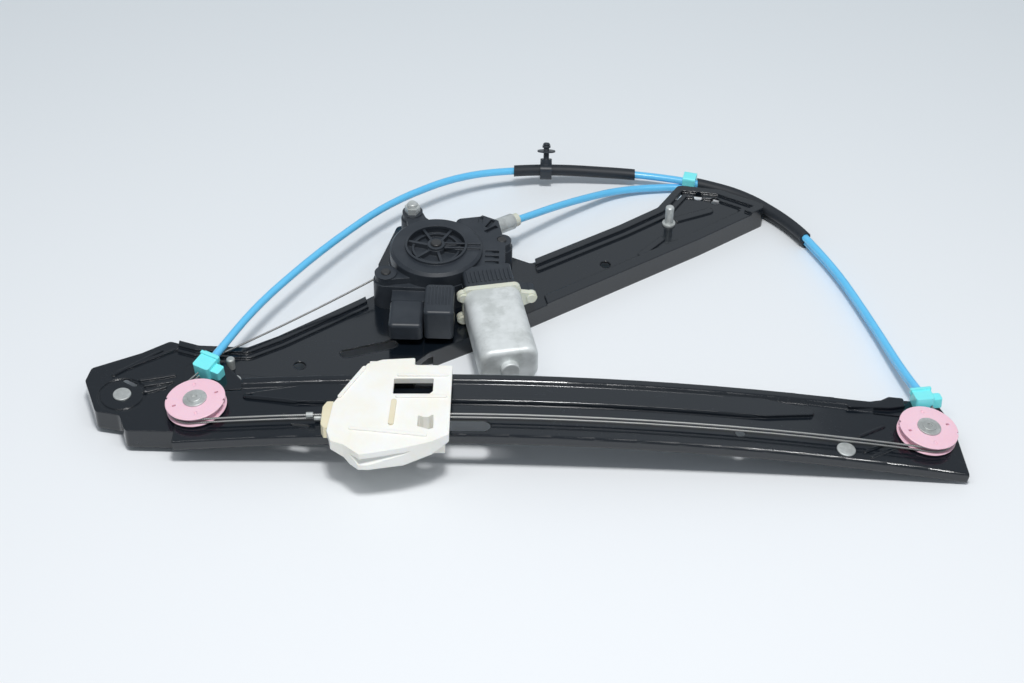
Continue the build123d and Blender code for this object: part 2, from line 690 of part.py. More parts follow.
# Apron that slopes down over the rail's front edge
with BuildPart() as apron:
    with BuildSketch(Plane.YZ.offset(-124)):
        Polygon((-172, 49), (-172, 43.5), (-187, 32), (-192, 32), (-192, 36), (-180, 49), align=None)
    extrude(amount=80)
    with BuildSketch():
        add(carrier_plan)
    extrude(amount=90, mode=Mode.INTERSECT)
with BuildPart() as glass_carrier:
    add(curved_layer(carrier_plan, CARRIER_LOW, CARRIER_HIGH))
    add(curved_layer(rear_grip, -RAIL_REAR_DEPTH - 2, CARRIER_LOW + 0.5))
    add(curved_layer(front_grip, -RAIL_FRONT_DEPTH - 3.2, CARRIER_LOW + 0.5))
    for pad in (
        outline([(-100, -129), (-100, -112), (-88, -112), (-88, -129)]),
        outline([(-57, -129), (-57, -112), (-49, -112), (-49, -129)]),
    ):
        add(curved_layer(pad, BEAD_RISE + SLIDE_GAP, CARRIER_LOW + 0.5))
    # Room for the rail between the grips
    for edge, low, high in (
        ([RAIL_REAR + SLIDE_GAP, RAIL_REAR - LIP_WIDTH - 6], -RAIL_REAR_DEPTH + 0.6, LIP_RISE + SLIDE_GAP),
        ([RAIL_REAR - LIP_WIDTH, RAIL_REAR - LIP_WIDTH - 6], -30, LIP_RISE + SLIDE_GAP),
        ([RAIL_FRONT - SLIDE_GAP, RAIL_FRONT + 30], -RAIL_FRONT_DEPTH - SLIDE_GAP, SLIDE_GAP),
        ([RAIL_FRONT + 5, RAIL_FRONT + 30], -30, SLIDE_GAP),
    ):
        room = outline([(-200, edge[0]), (0, edge[0]), (0, edge[1]), (-200, edge[1])])
        add(curved_layer(room, low, high), mode=Mode.SUBTRACT)
    for slot in (glass_slot, small_slot):
        add(curved_layer(slot, -30, 30), mode=Mode.SUBTRACT)
    # Raised rims beside the slot, a rib along the sloping edge and steps over the apron
    for x, y, length, angle in ((-66, -117.5, 34, 0), (-66, -138.5, 34, 0), (-113, -124, 34, 63), (-86, -172, 52, -8)):
        add(curved_layer(stadium(x, y, length, 2.6, angle), CARRIER_HIGH - 0.5, CARRIER_HIGH + 1))
    add(apron.part)
save(glass_carrier.part, "glass_carrier")

# Yellow bar that lies on the carrier beside its slot
with BuildPart() as carrier_insert:
    add(curved_layer(stadium(-84, -154, 24, 3.6, 88), CARRIER_HIGH, CARRIER_HIGH + 1.6))
save(carrier_insert.part, "carrier_insert")

# Yellow nose and the two cable end sockets it carries
with BuildPart() as cable_nose:
    nose_plan = outline([(-131, -160), (-131, -144), (-128.5, -139), (-124, -139), (-125.5, -164), (-129, -164)], 0.8)
    add(curved_layer(nose_plan, 1.5, CARRIER_HIGH - 3))
    nose_key = outline([(-128, -160), (-128, -151), (-118, -151), (-118, -160)], 1)
    add(curved_layer(nose_key, 1.5, 9.0))
    add(glass_carrier.part, mode=Mode.SUBTRACT)
    cable_gap = outline([(-140, -148.4), (-140, -144), (-100, -144), (-100, -148.4)])
    add(curved_layer(cable_gap, 1, 8.2), mode=Mode.SUBTRACT)
save(cable_nose.part.solids().sort_by(SortBy.VOLUME)[-1], "cable_nose")
for name, lift, x in (("upper_socket", UPPER_WIRE, -141.5), ("lower_socket", LOWER_WIRE, -136.5)):
    with BuildPart() as socket:
        with BuildSketch(Plane(rail_plane(x, WIRE_Y, lift).origin, z_dir=rail_plane(x, WIRE_Y).x_dir)):
            Circle(SOCKET_RADIUS)
            Circle(WIRE_RADIUS + 0.35, mode=Mode.SUBTRACT)
        extrude(amount=4.6)
    save(socket.part, name)

# Drive axis and motor planes
DRUM_FLOOR = Plane.XY.offset(ARM_TOP)
motor_axis = Vector(cos(radians(MOTOR_ANGLE)), sin(radians(MOTOR_ANGLE)), 0)
motor_side = Vector(-sin(radians(MOTOR_ANGLE)), cos(radians(MOTOR_ANGLE)), 0)
motor_face = Plane(origin=(MOTOR_X, MOTOR_Y, MOTOR_Z), x_dir=motor_side, z_dir=motor_axis)


def along_motor(distance):
    """Plane square to the motor's axis at a distance from its flange face."""
    return motor_face.offset(distance)


MOTOR_BLOCK_HEIGHT = 30.0
EARS = [(-20.5, 9), (-20.5, -11), (28.5, 2)]
outlet = Plane(origin=(-38, 50, 36), z_dir=(0.72, 0.66, -0.14))
with BuildPart() as ferrule:
    with BuildSketch(outlet.offset(18)):
        Circle(6)
    extrude(amount=20)
    add(drum_conduit_room, mode=Mode.SUBTRACT)
with BuildPart() as ferrule_cap:
    with BuildSketch(outlet.offset(38)):
        Circle(5)
    extrude(amount=5)
    add(drum_conduit_room, mode=Mode.SUBTRACT)
ferrule_room = ferrule.part

with BuildPart() as gear_housing:
    with BuildSketch(DRUM_FLOOR):
        with Locations((DRUM_X, DRUM_Y)):
            Circle(COVER_RADIUS + 1)
        Polygon((-44, -10), (-12, -4), (-15, 30), (-19, 62), (-33, 68), (-58, 52), align=None)
        Polygon((-99, 7), (-108, -2), (-99, -11), (-60, -12), (-60, 20), align=None)
        Polygon((-92, 70), (-84, 62), (-60, 40), (-70, 66), (-80, 77), align=None)
        for x, y, radius in BOSSES:
            with Locations((x, y)):
                Circle(radius)
    extrude(amount=HOUSING_TOP - ARM_TOP)
    # Worm tunnel and the block that carries the motor flange
    with BuildSketch(along_motor(-84)):
        RectangleRounded(22, 22, 4)
    extrude(amount=80)
    with BuildSketch(along_motor(-22)):
        RectangleRounded(36, MOTOR_BLOCK_HEIGHT, 3)
    extrude(amount=22)
    # Fine ribs across the top of the motor block
    with BuildSketch(along_motor(-16)):
        with Locations((0, MOTOR_BLOCK_HEIGHT / 2)):
            with GridLocations(3, 1, 11, 1):
                Rectangle(1, 2)
    extrude(amount=12)
    # Ear that backs the flange's right lug
    with BuildSketch(along_motor(-8)):
        Polygon((10, 13), (EARS[2][0], EARS[2][1] + 3.5), (EARS[2][0], EARS[2][1] - 3.5), (10, -13), align=None)
        with Locations(EARS[2]):
            Circle(4.4)
    extrude(amount=8)
    # Two sockets for the electronics module
    with BuildSketch(Plane.XY.offset(ARM_TOP + 2)):
        with Locations((-72, -16)):
            Rectangle(44, 14)
    extrude(amount=16)
    # Wheel chamber, open at the top, and worm bore
    with BuildSketch(Plane.XY.offset(ARM_TOP + 3)):
        with Locations((DRUM_X, DRUM_Y)):
            Circle(WHEEL_RADIUS + 1.5)
    extrude(amount=40, mode=Mode.SUBTRACT)
    with BuildSketch(along_motor(-72)):
        Circle(7.5)
    extrude(amount=90, mode=Mode.SUBTRACT)
    with BuildSketch(DRUM_FLOOR):
        with Locations((DRUM_X, DRUM_Y)):
            Circle(DRUM_PIN_RADIUS)
        for x, y, radius in BOSSES:
            with Locations((x, y)):
                Circle(SHANK_RADIUS)
    extrude(amount=60, mode=Mode.SUBTRACT)
    with BuildSketch(Plane.XY):
        Rectangle(700, 500)
    extrude(amount=ARM_TOP, mode=Mode.SUBTRACT)
    add(ferrule_room, mode=Mode.SUBTRACT)
    add(bare_wire_room, mode=Mode.SUBTRACT)
save(gear_housing.part, "gear_housing")

SPOKE_ANGLES = (-10, 10, 62, 118, 165, 225, 285)
with BuildPart() as drum_cover:
    with BuildSketch(Plane.XY.offset(HOUSING_TOP)):
        with Locations((DRUM_X, DRUM_Y)):
            Circle(COVER_RADIUS)
    extrude(amount=COVER_TOP - HOUSING_TOP)
    chamfer(drum_cover.edges().filter_by(GeomType.CIRCLE).sort_by(Axis.Z)[-1], 2)
    # Block with the cable outlet to the right and ribs around it
    with BuildSketch(Plane.XY.offset(HOUSING_TOP)):
        Polygon((-40, 2), (-14, 6), (-14, 30), (-20, 60), (-32, 66), (-46, 50), align=None)
    extrude(amount=7)
    with BuildSketch(Plane(origin=(-38, 50, 33.5), x_dir=(0.65, -0.75, 0), z_dir=(0.74, 0.64, -0.2))):
        Circle(7)
    extrude(amount=22)
    # Drum chamber
    with BuildSketch(Plane.XY.offset(HOUSING_TOP)):
        with Locations((DRUM_X, DRUM_Y)):
            Circle(CABLE_DRUM_RADIUS + 1.5)
            Circle(DRUM_PIN_RADIUS + 3, mode=Mode.SUBTRACT)
    extrude(amount=6.5, mode=Mode.SUBTRACT)
    # Pocketed top with seven spokes, a low ring inside a high one and a hub
    with BuildSketch(Plane.XY.offset(COVER_TOP)):
        with Locations((DRUM_X, DRUM_Y)):
            Circle(21)
            Circle(6.6, mode=Mode.SUBTRACT)
            for angle in SPOKE_ANGLES:
                with Locations(Location((0, 0), angle)):
                    with Locations((13.5, 0)):
                        Rectangle(17, 2, mode=Mode.SUBTRACT)
    extrude(amount=-4, mode=Mode.SUBTRACT)
    with BuildSketch(Plane.XY.offset(COVER_TOP - 4.5)):
        with Locations((DRUM_X, DRUM_Y)):
            Circle(17.6)
            Circle(15.8, mode=Mode.SUBTRACT)
    extrude(amount=3)
    with BuildSketch(Plane.XY.offset(COVER_TOP - 0.5)):
        with Locations((DRUM_X, DRUM_Y)):
            Circle(22.5)
            Circle(20.8, mode=Mode.SUBTRACT)
            Circle(6.3)
    extrude(amount=2.5)
    # Double spoke that runs out over the rim to the right
    with BuildSketch(Plane.XY.offset(COVER_TOP - 0.5)):
        with Locations((DRUM_X + 19, DRUM_Y)):
            with GridLocations(1, 5, 1, 2):
                Rectangle(26, 1.4)
    extrude(amount=1.7)
    # Fan of ribs between slanting pockets on the block
    with BuildSketch(Plane.XY.offset(HOUSING_TOP + 7)):
        for x, y, length, angle in ((-26, 56, 10, 63), (-25, 49.5, 11, 40), (-33, 60.5, 7, 87)):
            with Locations(Location((x, y), angle)):
                Rectangle(length, 3.4)
        for y in (11, 17, 23):
            with Locations((-23.5, y)):
                Rectangle(10, 3.2)
    extrude(amount=-2.6, mode=Mode.SUBTRACT)
    for x, y, radius in BOSSES:
        with BuildSketch(Plane.XY.offset(HOUSING_TOP)):
            with Locations((x, y)):
                Circle(radius - 1)
        extrude(amount=6)
    with BuildSketch(Plane.XY.offset(HOUSING_TOP)):
        Polygon((-92, 3), (-104, -3), (-96, -9), (-78, -6), align=None)
        Polygon((-90, 70), (-78, 74), (-68, 50), (-84, 46), align=None)
    extrude(amount=5)
    with BuildSketch(Plane.XY.offset(HOUSING_TOP - 30)):
        with Locations((DRUM_X, DRUM_Y)):
            Circle(DRUM_PIN_RADIUS)
        for x, y, radius in BOSSES:
            with Locations((x, y)):
                Circle(SHANK_RADIUS)
    extrude(amount=60, mode=Mode.SUBTRACT)
    with BuildSketch(Plane.XY):
        Rectangle(700, 500)
    extrude(amount=HOUSING_TOP, mode=Mode.SUBTRACT)
    add(gear_housing.part, mode=Mode.SUBTRACT)
    with BuildSketch(along_motor(-72)):
        Circle(7.5)
    extrude(amount=90, mode=Mode.SUBTRACT)
    add(ferrule_room, mode=Mode.SUBTRACT)
    add(bare_wire_room, mode=Mode.SUBTRACT)
save(drum_cover.part.solids().sort_by(SortBy.VOLUME)[-1], "drum_cover")

with BuildPart() as cable_drum:
    with BuildSketch(Plane.XY.offset(HOUSING_TOP + 0.3)):
        with Locations((DRUM_X, DRUM_Y)):
            Circle(CABLE_DRUM_RADIUS)
            Circle(DRUM_PIN_RADIUS + 3.4, mode=Mode.SUBTRACT)
    extrude(amount=6)
    for height in (1.2, 2.7, 4.2):
        with BuildSketch(Plane.XY.offset(HOUSING_TOP + height)):
            with Locations((DRUM_X, DRUM_Y)):
                Circle(CABLE_DRUM_RADIUS + 1)
                Circle(CABLE_DRUM_RADIUS - 1, mode=Mode.SUBTRACT)
        extrude(amount=1, mode=Mode.SUBTRACT)
save(cable_drum.part, "cable_drum")

with BuildPart() as worm_wheel:
    with BuildSketch(Plane.XY.offset(ARM_TOP + 8)):
        with Locations((DRUM_X, DRUM_Y)):
            Circle(WHEEL_RADIUS - 1)
            with PolarLocations(WHEEL_RADIUS - 1, 40):
                Rectangle(2, 2)
    extrude(amount=10)
    with BuildSketch(Plane.XY.offset(ARM_TOP + 18)):
        with Locations((DRUM_X, DRUM_Y)):
            Circle(16)
            Circle(DRUM_PIN_RADIUS + 3.4, mode=Mode.SUBTRACT)
    extrude(amount=HOUSING_TOP - ARM_TOP - 18 + 0.3)
    with BuildSketch(Plane.XY.offset(ARM_TOP)):
        with Locations((DRUM_X, DRUM_Y)):
            Circle(DRUM_PIN_RADIUS + RUNNING)
    extrude(amount=40, mode=Mode.SUBTRACT)
save(worm_wheel.part, "worm_wheel")

with BuildPart() as drum_pin:
    with BuildSketch(Plane.XY.offset(ARM_TOP)):
        with Locations((DRUM_X, DRUM_Y)):
            Circle(DRUM_PIN_RADIUS)
    extrude(amount=COVER_TOP + 3.5 - ARM_TOP)
    fillet(drum_pin.edges().sort_by(Axis.Z)[-1], 1)
save(drum_pin.part, "drum_pin")

with BuildPart() as armature:
    with BuildSketch(along_motor(-68)):
        Circle(2.5)
    extrude(amount=68 + CAN_LENGTH + 2)
    with BuildSketch(along_motor(-56)):
        Circle(5.4)
    extrude(amount=34)
    with BuildSketch(along_motor(14)):
        Circle(11)
        with PolarLocations(11, 8):
            Rectangle(4, 1.6, mode=Mode.SUBTRACT)
    extrude(amount=38)
save(armature.part, "armature")

with BuildPart() as motor_can:
    with BuildSketch(along_motor(4)):
        RectangleRounded(2 * CAN_RADIUS, CAN_HEIGHT, CAN_CORNER)
    extrude(amount=CAN_LENGTH)
    fillet(motor_can.faces().sort_by(Axis.Y)[0].edges(), 4)
    with BuildSketch(along_motor(4 + CAN_LENGTH - 0.5)):
        Circle(6.5)
    extrude(amount=5)
    fillet(motor_can.faces().sort_by(Axis.Y)[0].edges(), 1)
    with BuildSketch(along_motor(4)):
        RectangleRounded(2 * (CAN_RADIUS - CAN_WALL), CAN_HEIGHT - 2 * CAN_WALL, CAN_CORNER - CAN_WALL)
    extrude(amount=CAN_LENGTH - 2 * CAN_WALL, mode=Mode.SUBTRACT)
    with BuildSketch(along_motor(CAN_LENGTH - CAN_WALL)):
        Circle(2.6)
    extrude(amount=7, mode=Mode.SUBTRACT)
save(motor_can.part, "motor_can")

with BuildPart() as motor_flange:
    with BuildSketch(motor_face):
        RectangleRounded(42, 31, 5)
        for x, y in EARS:
            with BuildLine():
                Polyline((0, 14), (x, y + 4), (x, y - 4), (0, -14), close=True)
            make_face()
            with Locations((x, y)):
                Circle(4.4)
    extrude(amount=4)
    for x, y in EARS:
        with BuildSketch(along_motor(4)):
            with Locations((x, y)):
                Circle(3.4)
        extrude(amount=1.6)
    with BuildSketch(motor_face):
        Circle(2.6)
    extrude(amount=8, mode=Mode.SUBTRACT)
    add(motor_can.part, mode=Mode.SUBTRACT)
save(motor_flange.part, "motor_flange")

for name, side in (("magnet_left", -1), ("magnet_right", 1)):
    with BuildPart() as magnet:
        with BuildSketch(along_motor(16)):
            with Locations((side * 15, 0)):
                Rectangle(2 * (CAN_RADIUS - CAN_WALL - 15), 12)
            Circle(12.2, mode=Mode.SUBTRACT)
        extrude(amount=36)
    save(magnet.part, name)

# Electronics module and the connector housing beside it, whose mouth faces left
with BuildPart() as module_box:
    with BuildSketch(Plane.XY.offset(MODULE_LOW)):
        with Locations((-59, -34.5)):
            RectangleRounded(21, 32, 3.5)
    extrude(amount=24)
    fillet(module_box.faces().sort_by(Axis.Z)[-1].edges(), 2.5)
    with BuildSketch(Plane.XY.offset(MODULE_LOW + 24)):
        with Locations((-59, -32)):
            with GridLocations(2.4, 1, 7, 1):
                Rectangle(1, 20)
    extrude(amount=-0.4, mode=Mode.SUBTRACT)
    add(gear_housing.part, mode=Mode.SUBTRACT)
    add(drum_cover.part, mode=Mode.SUBTRACT)
save(module_box.part.solids().sort_by(SortBy.VOLUME)[-1], "module_box")
with BuildPart() as connector_housing:
    with BuildSketch(Plane.XY.offset(MODULE_LOW)):
        with Locations((-82.2, -37.7)):
            RectangleRounded(24.2, 29, 3.5)
    extrude(amount=13)
    fillet(connector_housing.faces().sort_by(Axis.Z)[-1].edges(), 3)
    with BuildSketch(Plane((-94.3, -38, MODULE_LOW + 6), x_dir=(0, 1, 0), z_dir=(-1, 0, 0))):
        RectangleRounded(20, 8, 1)
    extrude(amount=-12, mode=Mode.SUBTRACT)
    with BuildSketch(Plane((-84, -38, MODULE_LOW + 6), x_dir=(0, 1, 0), z_dir=(-1, 0, 0))):
        with GridLocations(4, 3.6, 4, 2):
            Rectangle(1, 1)
    extrude(amount=8)
    add(gear_housing.part, mode=Mode.SUBTRACT)
save(connector_housing.part.solids().sort_by(SortBy.VOLUME)[-1], "connector")

# Outlet on the drum cover for the conduit to the right end
save(ferrule.part, "conduit_socket")
save(ferrule_cap.part, "socket_cap")


def rivet(x, y, height, radius, head):
    """Rivet square to the mounting plate with a low round head on both sides."""
    slope = (plate_height(x + 1) - plate_height(x - 1)) / 2
    seat = Plane(origin=(x, y, plate_height(x)), x_dir=(1, 0, slope), z_dir=(-slope, 0, 1))
    with BuildPart() as pin:
        with BuildSketch(seat.offset(-SHEET)):
            Circle(radius)
        extrude(amount=height)
        for level, way in ((-SHEET, -1.2), (height - SHEET, 1.2)):
            with BuildSketch(seat.offset(level)):
                Circle(head)
            extrude(amount=way)
        fillet(pin.edges().filter_by(GeomType.CIRCLE).sort_by(Axis.Z)[-1], 0.7)
    return pin.part


for number, (x, y) in enumerate(FOOT_RIVETS):
    save(rivet(x, y, 2 * SHEET, 2.48, 4.5), "foot_rivet_" + str(number + 1))
save(rivet(*WING_RIVET, SHEET, 2.48, 6.2), "wing_rivet")

# Upright pin beside the left end fitting
with BuildPart() as locating_pin:
    with BuildSketch(Plane((*LOCATING_PIN, plate_height(LOCATING_PIN[0]) - SHEET))):
        Circle(2.25)
    extrude(amount=SHEET + 1)
    with BuildSketch(Plane((*LOCATING_PIN, plate_height(LOCATING_PIN[0]) + 0.15))):
        Circle(3)
    extrude(amount=8.5)
    fillet(locating_pin.edges().filter_by(GeomType.CIRCLE).sort_by(Axis.Z)[-1], 1.2)
save(locating_pin.part, "locating_pin")

# Flat rivet that closes a hole near the rail's right end
with BuildPart() as end_rivet:
    with BuildSketch(rail_plane(*RAIL_DISC, -SHEET)):
        Circle(2.25)
    extrude(amount=SHEET)
    with BuildSketch(rail_plane(*RAIL_DISC)):
        Circle(6.4)
    extrude(amount=1)
    fillet(end_rivet.edges().filter_by(GeomType.CIRCLE).sort_by(Axis.Z)[-1], 0.6)
save(end_rivet.part, "end_rivet")

with BuildPart() as arm_stud:
    with BuildSketch(Plane.XY.offset(ARM_TOP - SHEET)):
        with Locations(ARM_STUD):
            Circle(2.5)
    extrude(amount=SHEET)
    with BuildSketch(Plane.XY.offset(ARM_TOP)):
        with Locations(ARM_STUD):
            Circle(5)
    extrude(amount=1.5)
    with BuildSketch(Plane.XY.offset(ARM_TOP + 1.5)):
        with Locations(ARM_STUD):
            Circle(STUD_RADIUS)
    extrude(amount=15)
    chamfer(arm_stud.edges().filter_by(GeomType.CIRCLE).sort_by(Axis.Z)[-1], 0.6)
save(arm_stud.part, "arm_stud")

# Studs that bolt the drive to the plate; their lower ends are feet of the part
for name, (x, y, boss) in zip(("left", "right", "back"), BOSSES):
    top = HOUSING_TOP + (14 if name == "back" else 7)
    with BuildPart() as stud:
        with BuildSketch():
            with Locations((x, y)):
                Circle(STUD_RADIUS)
        extrude(amount=NUT_LEVEL)
        chamfer(stud.edges().filter_by(GeomType.CIRCLE).sort_by(Axis.Z)[0], 0.6)
        with BuildSketch(Plane.XY.offset(NUT_LEVEL)):
            with Locations((x, y)):
                Circle(SHANK_RADIUS)
        extrude(amount=top - NUT_LEVEL)
        chamfer(stud.edges().filter_by(GeomType.CIRCLE).sort_by(Axis.Z)[-1], 0.6)
    save(stud.part, "stud_" + name)
    nuts = [("nut_" + name, NUT_LEVEL)]
    if name == "back":
        nuts.append(("nut_back_upper", HOUSING_TOP + 6))
    for nut_name, level in nuts:
        with BuildPart() as nut:
            with BuildSketch(Plane.XY.offset(level)):
                with Locations((x, y)):
                    RegularPolygon(5, 6, major_radius=False)
                    Circle(SHANK_RADIUS, mode=Mode.SUBTRACT)
            extrude(amount=5)
        save(nut.part, nut_name)

# Spacer between the rail and the plate round the left pulley's axle
with BuildPart() as axle_spacer:
    with BuildSketch(rail_plane(LEFT_PULLEY_X, PULLEY_Y, -20)):
        Circle(11)
        Circle(AXLE_RADIUS + 3.5, mode=Mode.SUBTRACT)
    extrude(amount=25)
    add(curved_layer(outline([(-300, -160), (-150, -160), (-150, -100), (-300, -100)]), -SHEET, 40), mode=Mode.SUBTRACT)
    add(plate_layer(outline([(-300, -160), (-150, -160), (-150, -100), (-300, -100)]), -40, 0), mode=Mode.SUBTRACT)
save(axle_spacer.part, "axle_spacer")
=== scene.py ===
import json
import logging
import math
from dataclasses import dataclass, field
from enum import Enum

import bpy
import numpy as np
from mathutils import Matrix, Vector


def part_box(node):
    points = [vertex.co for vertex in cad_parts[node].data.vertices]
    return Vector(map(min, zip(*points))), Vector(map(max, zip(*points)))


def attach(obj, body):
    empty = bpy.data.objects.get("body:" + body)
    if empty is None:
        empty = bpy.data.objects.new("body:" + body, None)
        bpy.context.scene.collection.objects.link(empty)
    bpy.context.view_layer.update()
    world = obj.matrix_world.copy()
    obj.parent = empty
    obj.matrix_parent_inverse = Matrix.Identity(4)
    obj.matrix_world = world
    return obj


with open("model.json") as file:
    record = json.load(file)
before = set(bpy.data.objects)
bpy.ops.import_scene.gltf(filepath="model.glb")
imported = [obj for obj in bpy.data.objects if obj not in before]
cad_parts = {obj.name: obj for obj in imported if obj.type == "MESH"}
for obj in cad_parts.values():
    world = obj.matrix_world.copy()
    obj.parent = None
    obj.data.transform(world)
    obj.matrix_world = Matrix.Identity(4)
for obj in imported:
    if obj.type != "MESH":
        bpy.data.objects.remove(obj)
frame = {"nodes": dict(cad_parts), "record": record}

LOG = logging.getLogger("window_regulator")
MM = 0.001

Colour = tuple[float, float, float]
Triple = tuple[float, float, float]
Band = tuple[float, float]
EVEN: Triple = (1, 1, 1)
BEVEL_SAMPLES = 6
# Places of the Mix node's colour sockets, whose names it gives to other types too.
MIX_FIRST, MIX_SECOND, MIX_RESULT = 6, 7, 2
SLOTS = {entry["node"]: entry["material_slot"] for entry in frame["record"]["subparts"]}


class Drawn(Enum):
    """Direction of a sheet's drawing marks, as the scale of their pattern on each axis."""

    NONE = EVEN
    ALONG_X = (0.08, 1, 1)
    ALONG_Y = (1, 0.08, 1)


class Bed(Enum):
    """Sheet on which a pressed ridge stands."""

    RAIL = "rail"
    PLATE = "plate"


@dataclass(frozen=True)
class Noise:
    """Fractal noise: features per metre, octaves, weight of the small ones, scale on each axis."""

    scale: float
    detail: float
    roughness: float
    stretch: Triple = EVEN


class Signal:
    """A shader value whose Python operators add Math nodes."""

    def __init__(self, shader: "Shader", socket: bpy.types.NodeSocket) -> None:
        """Wrap a socket.

        Args:
            shader: The material being wired.
            socket: The output socket to wrap.
        """
        self.shader = shader
        self.socket = socket

    def math(self, operation: str, *values: "Signal | float") -> "Signal":
        """Feed this value and others through one Math node.

        Args:
            operation: Blender's name of the operation.
            values: The other operands.

        Returns:
            The result.
        """
        sockets = dict(enumerate((self, *values)))
        node = self.shader.node("ShaderNodeMath", {"operation": operation}, sockets)
        return Signal(self.shader, node.outputs[0])

    def __add__(self, other: "Signal | float") -> "Signal":
        """Sum."""
        return self.math("ADD", other)

    __radd__ = __add__

    def __mul__(self, other: "Signal | float") -> "Signal":
        """Product."""
        return self.math("MULTIPLY", other)

    __rmul__ = __mul__

    def __sub__(self, other: "Signal | float") -> "Signal":
        """Difference."""
        return self.math("SUBTRACT", other)

    def __rsub__(self, other: float) -> "Signal":
        """Difference with this value taken from a number."""
        node = self.shader.node("ShaderNodeMath", {"operation": "SUBTRACT"}, {0: other, 1: self})
        return Signal(self.shader, node.outputs[0])

    def step(self, low: float, high: float) -> "Signal":
        """Rise smoothly from 0 at low to 1 at high.

        Args:
            low: Input value at which the result leaves 0.
            high: Input value at which the result reaches 1.

        Returns:
            The smoothed step.
        """
        node = self.shader.node(
            "ShaderNodeMapRange",
            {"interpolation_type": "SMOOTHSTEP", "clamp": True},
            {"Value": self, "From Min": low, "From Max": high, "To Min": 0.0, "To Max": 1.0},
        )
        return Signal(self.shader, node.outputs["Result"])


class Shader:
    """One material's node tree, built from expressions."""

    def __init__(self, name: str) -> None:
        """Make an empty material.

        Args:
            name: The material's name.
        """
        self.material = bpy.data.materials.new(name)
        self.material.use_nodes = True
        self.tree = self.material.node_tree
        self.tree.nodes.clear()
        self.coordinates = self.node("ShaderNodeTexCoord", {}, {})

    def node(self, kind: str, settings: dict, sockets: dict) -> bpy.types.Node:
        """Add any node, set it and link or fill its sockets.

        Args:
            kind: Blender's node type.
            settings: Properties that are set first.
            sockets: Values, signals or sockets by input name or index.

        Returns:
            The new node.
        """
        made = self.tree.nodes.new(kind)
        for key, value in settings.items():
            setattr(made, key, value)
        for key, value in sockets.items():
            if isinstance(value, Signal):
                self.tree.links.new(value.socket, made.inputs[key])
            elif isinstance(value, bpy.types.NodeSocket):
                self.tree.links.new(value, made.inputs[key])
            else:
                made.inputs[key].default_value = value
        return made

    def place(self, stretch: Triple = EVEN) -> bpy.types.NodeSocket:
        """Object coordinates, drawn out along an axis by a small scale there.

        Args:
            stretch: How much the pattern is scaled along each axis.

        Returns:
            The coordinate socket.
        """
        sockets = {"Vector": self.coordinates.outputs["Object"], "Scale": stretch}
        return self.node("ShaderNodeMapping", {}, sockets).outputs["Vector"]

    def axes(self) -> tuple[Signal, Signal, Signal]:
        """Object coordinates as three separate values."""
        sockets = {0: self.coordinates.outputs["Object"]}
        outputs = self.node("ShaderNodeSeparateXYZ", {}, sockets).outputs
        return Signal(self, outputs[0]), Signal(self, outputs[1]), Signal(self, outputs[2])

    def noise(self, pattern: Noise) -> Signal:
        """Fractal noise on Object coordinates, about 0.5 on average.

        Args:
            pattern: The noise's numbers.

        Returns:
            The noise.
        """
        sockets = {
            "Vector": self.place(pattern.stretch),
            "Scale": pattern.scale,
            "Detail": pattern.detail,
            "Roughness": pattern.roughness,
        }
        return Signal(self, self.node("ShaderNodeTexNoise", {}, sockets).outputs[0])

    def cells(self, scale: float) -> Signal:
        """Distance to the nearest point of a Voronoi pattern.

        Args:
            scale: Cells per metre.

        Returns:
            The distance, 0 at each cell's middle.
        """
        made = self.node("ShaderNodeTexVoronoi", {}, {"Vector": self.place(), "Scale": scale})
        return Signal(self, made.outputs["Distance"])

    def blend(self, factor: Signal, first: "Signal | Colour", second: Colour) -> Signal:
        """Mix two colours.

        Args:
            factor: Share of the second colour.
            first: Colour at factor 0, plain or mixed before.
            second: Colour at factor 1.

        Returns:
            The mixed colour.
        """
        sockets = {
            "Factor": factor,
            MIX_FIRST: first if isinstance(first, Signal) else (*first, 1.0),
            MIX_SECOND: (*second, 1.0),
        }
        made = self.node("ShaderNodeMix", {"data_type": "RGBA"}, sockets)
        return Signal(self, made.outputs[MIX_RESULT])

    def bump(
        self, height: Signal, distance: float, strength: float, edge: float = 0.0
    ) -> bpy.types.NodeSocket:
        """Turn a height into a bumped normal.

        Args:
            height: Height in units of the distance.
            distance: Metres that a height of 1 stands for.
            strength: Share of the effect.
            edge: Radius over which sharp edges are softened, in metres.

        Returns:
            The normal socket.
        """
        sockets = {"Height": height, "Distance": distance, "Strength": strength}
        if edge:
            soft = self.node("ShaderNodeBevel", {"samples": BEVEL_SAMPLES}, {"Radius": edge})
            sockets["Normal"] = soft.outputs["Normal"]
        return self.node("ShaderNodeBump", {}, sockets).outputs["Normal"]

    def finish(self, sockets: dict) -> bpy.types.Material:
        """Close the tree with a Principled shader.

        Args:
            sockets: Inputs of the Principled shader.

        Returns:
            The finished material.
        """
        surface = self.node("ShaderNodeBsdfPrincipled", {}, sockets)
        self.node("ShaderNodeOutputMaterial", {}, {"Surface": surface.outputs[0]})
        return self.material


